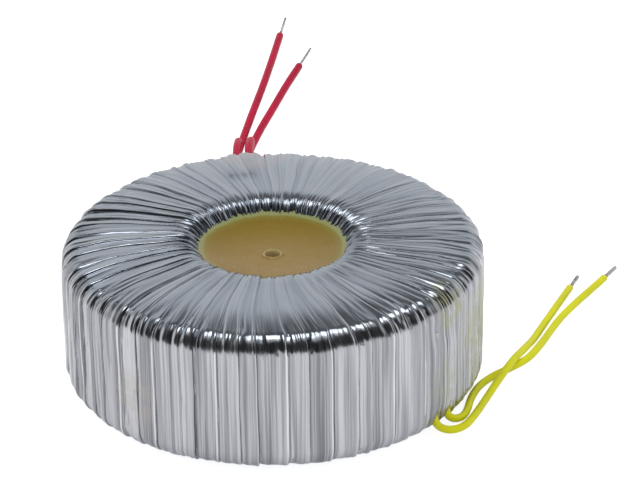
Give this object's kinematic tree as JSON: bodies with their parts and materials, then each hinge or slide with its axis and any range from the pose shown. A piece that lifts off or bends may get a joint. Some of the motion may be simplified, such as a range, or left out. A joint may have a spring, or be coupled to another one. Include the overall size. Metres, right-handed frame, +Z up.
{
  "type": "toroidal transformer",
  "caption": "Ring-shaped mains transformer in folded silver film, with a resin-potted bore, a mounting hole and insulated flying leads.",
  "frame": {"origin": "on the ring's axis, at the face that it lies on", "axes": "+Z up along the ring's axis; the yellow leads leave towards +X and the red leads towards +Y"},
  "size_m": [0.165, 0.3159, 0.0446],
  "materials": {
    "core_steel": "strip-wound silicon steel",
    "board": "pressed insulating board",
    "tape": "clear polyester tape in layers",
    "copper": "enamelled copper wire",
    "metallised_film": "folded silver film, glossy",
    "resin": "cast amber resin, satin",
    "sleeve": "shrink sleeve",
    "red_insulation": "red PVC insulation",
    "yellow_insulation": "yellow PVC insulation",
    "tinned_wire": "tinned copper, dull"
  },
  "bodies": {
    "root": {"core": "core_steel", "core_edge_ring_top": "board", "core_edge_ring_bottom": "board", "core_wrap": "tape", "primary_winding": "copper", "winding_wrap": "tape", "secondary_winding": "copper", "outer_wrap": "metallised_film", "potting": "resin", "red_joint_sleeve_1": "sleeve", "red_joint_sleeve_2": "sleeve", "yellow_joint_sleeve_1": "sleeve", "yellow_joint_sleeve_2": "sleeve", "red_lead_1": "red_insulation", "red_lead_2": "red_insulation", "yellow_lead_1": "yellow_insulation", "yellow_lead_2": "yellow_insulation", "red_lead_tip_1": "tinned_wire", "red_lead_tip_2": "tinned_wire", "yellow_lead_tip_1": "tinned_wire", "yellow_lead_tip_2": "tinned_wire"}
  },
  "joints": []
}
